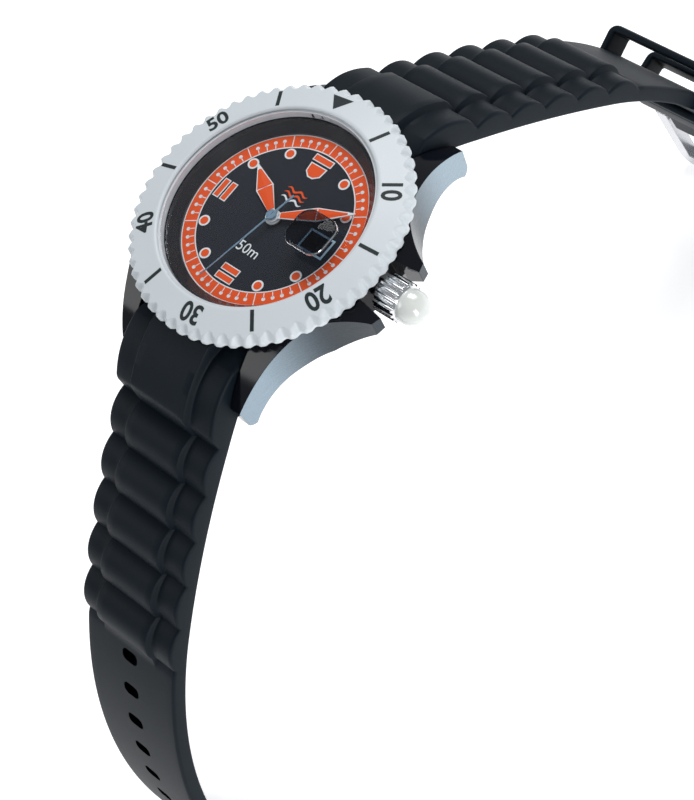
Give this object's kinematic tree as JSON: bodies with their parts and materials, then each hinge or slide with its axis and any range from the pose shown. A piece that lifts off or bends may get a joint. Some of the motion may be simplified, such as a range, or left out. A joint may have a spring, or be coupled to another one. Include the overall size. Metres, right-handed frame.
{
  "type": "dive watch",
  "caption": "Quartz dive watch: turning scalloped bezel, domed date lens, guarded crown, and a ribbed silicone strap with pin buckle, laid open in an arch.",
  "frame": {"origin": "centre of the case back's outer face", "axes": "+Z leaves the dial, +Y points to 12 o'clock, +X points along the crown at 3 o'clock"},
  "size_m": [0.0483, 0.1443, 0.0935],
  "materials": {
    "gloss_black": "polished and brushed black moulding",
    "bezel_white": "satin pale grey-white moulding",
    "silicone": "matte blue-black silicone",
    "steel": "brushed stainless steel",
    "chrome": "polished plated steel",
    "pearl": "pearl white polished resin",
    "glass": "clear mineral glass",
    "nylon": "translucent white nylon",
    "flange_black": "satin black",
    "dial_black": "matte navy-black lacquer with orange and white print",
    "date_black": "matte black print base with white numbers",
    "hand_orange": "orange enamel with white edge",
    "hand_steel": "pale blue lacquered steel",
    "brass": "gilt brass",
    "gear_plastic": "natural acetal",
    "plate_plastic": "dark moulded movement plastic",
    "holder_white": "white moulded spacer",
    "board_green": "green circuit board",
    "copper": "enamelled copper wire",
    "soft_iron": "soft iron",
    "rubber_black": "nitrile rubber",
    "battery_steel": "nickel-plated can"
  },
  "bodies": {
    "case": {"case": "gloss_black", "case_back": "steel", "case_back_gasket": "rubber_black", "case_back_screws": "steel", "bezel_wire": "steel", "bezel_click_spring": "steel", "crystal": "glass", "date_lens": "glass", "crystal_gasket": "nylon", "flange_ring": "flange_black", "dial": "dial_black", "main_plate": "plate_plastic", "train_bridge": "steel", "bridge_screws": "steel", "stator": "soft_iron", "drive_coil": "copper", "circuit_board": "board_green", "quartz_can": "battery_steel", "battery": "battery_steel", "battery_clamp": "steel", "movement_holder": "holder_white", "crown_tube": "steel", "spring_bars": "steel"},
    "bezel": {"bezel": "bezel_white"},
    "crown_seal": {"crown_gasket": "rubber_black"},
    "crown": {"crown": "chrome", "crown_cap": "pearl", "winding_stem": "steel", "clutch_pinion": "steel"},
    "setting_lever": {"setting_lever": "steel"},
    "seconds": {"fourth_wheel": "brass", "second_hand": "hand_steel"},
    "minutes": {"cannon_pinion": "brass", "minute_hand": "hand_orange"},
    "hours": {"hour_wheel": "brass", "hour_hand": "hand_orange"},
    "minute_wheel": {"minute_wheel": "brass"},
    "setting_wheel": {"setting_wheel": "brass"},
    "third_wheel": {"third_wheel": "brass"},
    "reduction_wheel": {"reduction_wheel": "brass"},
    "rotor": {"rotor": "steel"},
    "date_driver": {"date_driving_wheel": "gear_plastic"},
    "date_disc": {"date_disc": "date_black"},
    "strap_12": {"strap_12": "silicone", "fixed_keeper": "silicone"},
    "strap_6": {"strap_6": "silicone"},
    "free_keeper": {"free_keeper": "silicone"},
    "buckle": {"buckle_frame": "steel", "buckle_pin": "steel"},
    "tongue": {"buckle_tongue": "steel"}
  },
  "joints": [
    {"name": "bezel_turn", "type": "hinge", "parent": "case", "child": "bezel", "pos_m": [0, 0, 0.0095], "axis": [0, 0, 1], "continuous": true},
    {"name": "crown_pull", "type": "slide", "parent": "case", "child": "crown_seal", "axis": [1, 0, 0], "range_m": [0, 0.001]},
    {"name": "crown_turn", "type": "hinge", "parent": "crown_seal", "child": "crown", "pos_m": [0.022, 0, 0.0054], "axis": [1, 0, 0], "continuous": true},
    {"name": "setting_lever_turn", "type": "hinge", "parent": "case", "child": "setting_lever", "pos_m": [0.0106, 0.0034, 0.006], "axis": [0, 0, 1], "range_deg": [0, 17.5]},
    {"name": "second_hand_turn", "type": "hinge", "parent": "case", "child": "seconds", "pos_m": [0, 0, 0.0088], "axis": [0, 0, -1], "continuous": true},
    {"name": "minute_hand_turn", "type": "hinge", "parent": "case", "child": "minutes", "pos_m": [0, 0, 0.0085], "axis": [0, 0, -1], "continuous": true},
    {"name": "hour_hand_turn", "type": "hinge", "parent": "case", "child": "hours", "pos_m": [0, 0, 0.0081], "axis": [0, 0, -1], "continuous": true},
    {"name": "minute_wheel_turn", "type": "hinge", "parent": "case", "child": "minute_wheel", "pos_m": [0.00206, -0.00295, 0.0063], "axis": [0, 0, -1], "continuous": true},
    {"name": "setting_wheel_turn", "type": "hinge", "parent": "case", "child": "setting_wheel", "pos_m": [0.00626, -0.00273, 0.00627], "axis": [0, 0, -1], "continuous": true},
    {"name": "third_wheel_turn", "type": "hinge", "parent": "case", "child": "third_wheel", "pos_m": [0.0017, 0.00294, 0.004], "axis": [0, 0, -1], "continuous": true},
    {"name": "reduction_wheel_turn", "type": "hinge", "parent": "case", "child": "reduction_wheel", "pos_m": [-0.00261, -0.00122, 0.004], "axis": [0, 0, -1], "continuous": true},
    {"name": "rotor_turn", "type": "hinge", "parent": "case", "child": "rotor", "pos_m": [-0.00459, -0.0032, 0.004], "axis": [0, 0, -1], "continuous": true},
    {"name": "date_driver_turn", "type": "hinge", "parent": "case", "child": "date_driver", "pos_m": [-0.00322, 0.0027, 0.0069], "axis": [0, 0, -1], "continuous": true},
    {"name": "date_disc_turn", "type": "hinge", "parent": "case", "child": "date_disc", "pos_m": [0, 0, 0.007], "axis": [0, 0, -1], "continuous": true},
    {"name": "strap_12_fold", "type": "hinge", "parent": "case", "child": "strap_12", "pos_m": [0, 0.0216, 0.002], "axis": [-1, 0, 0], "range_deg": [0, 30]},
    {"name": "strap_6_fold", "type": "hinge", "parent": "case", "child": "strap_6", "pos_m": [0, -0.0216, 0.002], "axis": [1, 0, 0], "range_deg": [0, 30]},
    {"name": "free_keeper_slide", "type": "slide", "parent": "strap_12", "child": "free_keeper", "axis": [0, 0.4152, -0.9097], "range_m": [-0.003, 0.003]},
    {"name": "buckle_turn", "type": "hinge", "parent": "strap_12", "child": "buckle", "pos_m": [0, 0.0719, -0.06575], "axis": [1, 0, 0], "range_deg": [-30, 60]},
    {"name": "tongue_turn", "type": "hinge", "parent": "buckle", "child": "tongue", "pos_m": [0, 0.0719, -0.06575], "axis": [1, 0, 0], "range_deg": [0, 60]}
  ],
  "couplings": [
    {"joint": "minute_hand_turn", "follows": "second_hand_turn", "ratio": 0.016667},
    {"joint": "hour_hand_turn", "follows": "second_hand_turn", "ratio": 0.0013889},
    {"joint": "minute_wheel_turn", "follows": "second_hand_turn", "ratio": -0.0055556},
    {"joint": "setting_wheel_turn", "follows": "second_hand_turn", "ratio": 0.01},
    {"joint": "third_wheel_turn", "follows": "second_hand_turn", "ratio": -0.13333},
    {"joint": "reduction_wheel_turn", "follows": "second_hand_turn", "ratio": -5},
    {"joint": "rotor_turn", "follows": "second_hand_turn", "ratio": 30},
    {"joint": "date_driver_turn", "follows": "second_hand_turn", "ratio": -0.00069444},
    {"joint": "setting_lever_turn", "follows": "crown_pull", "rad_per_m": 294.12}
  ]
}
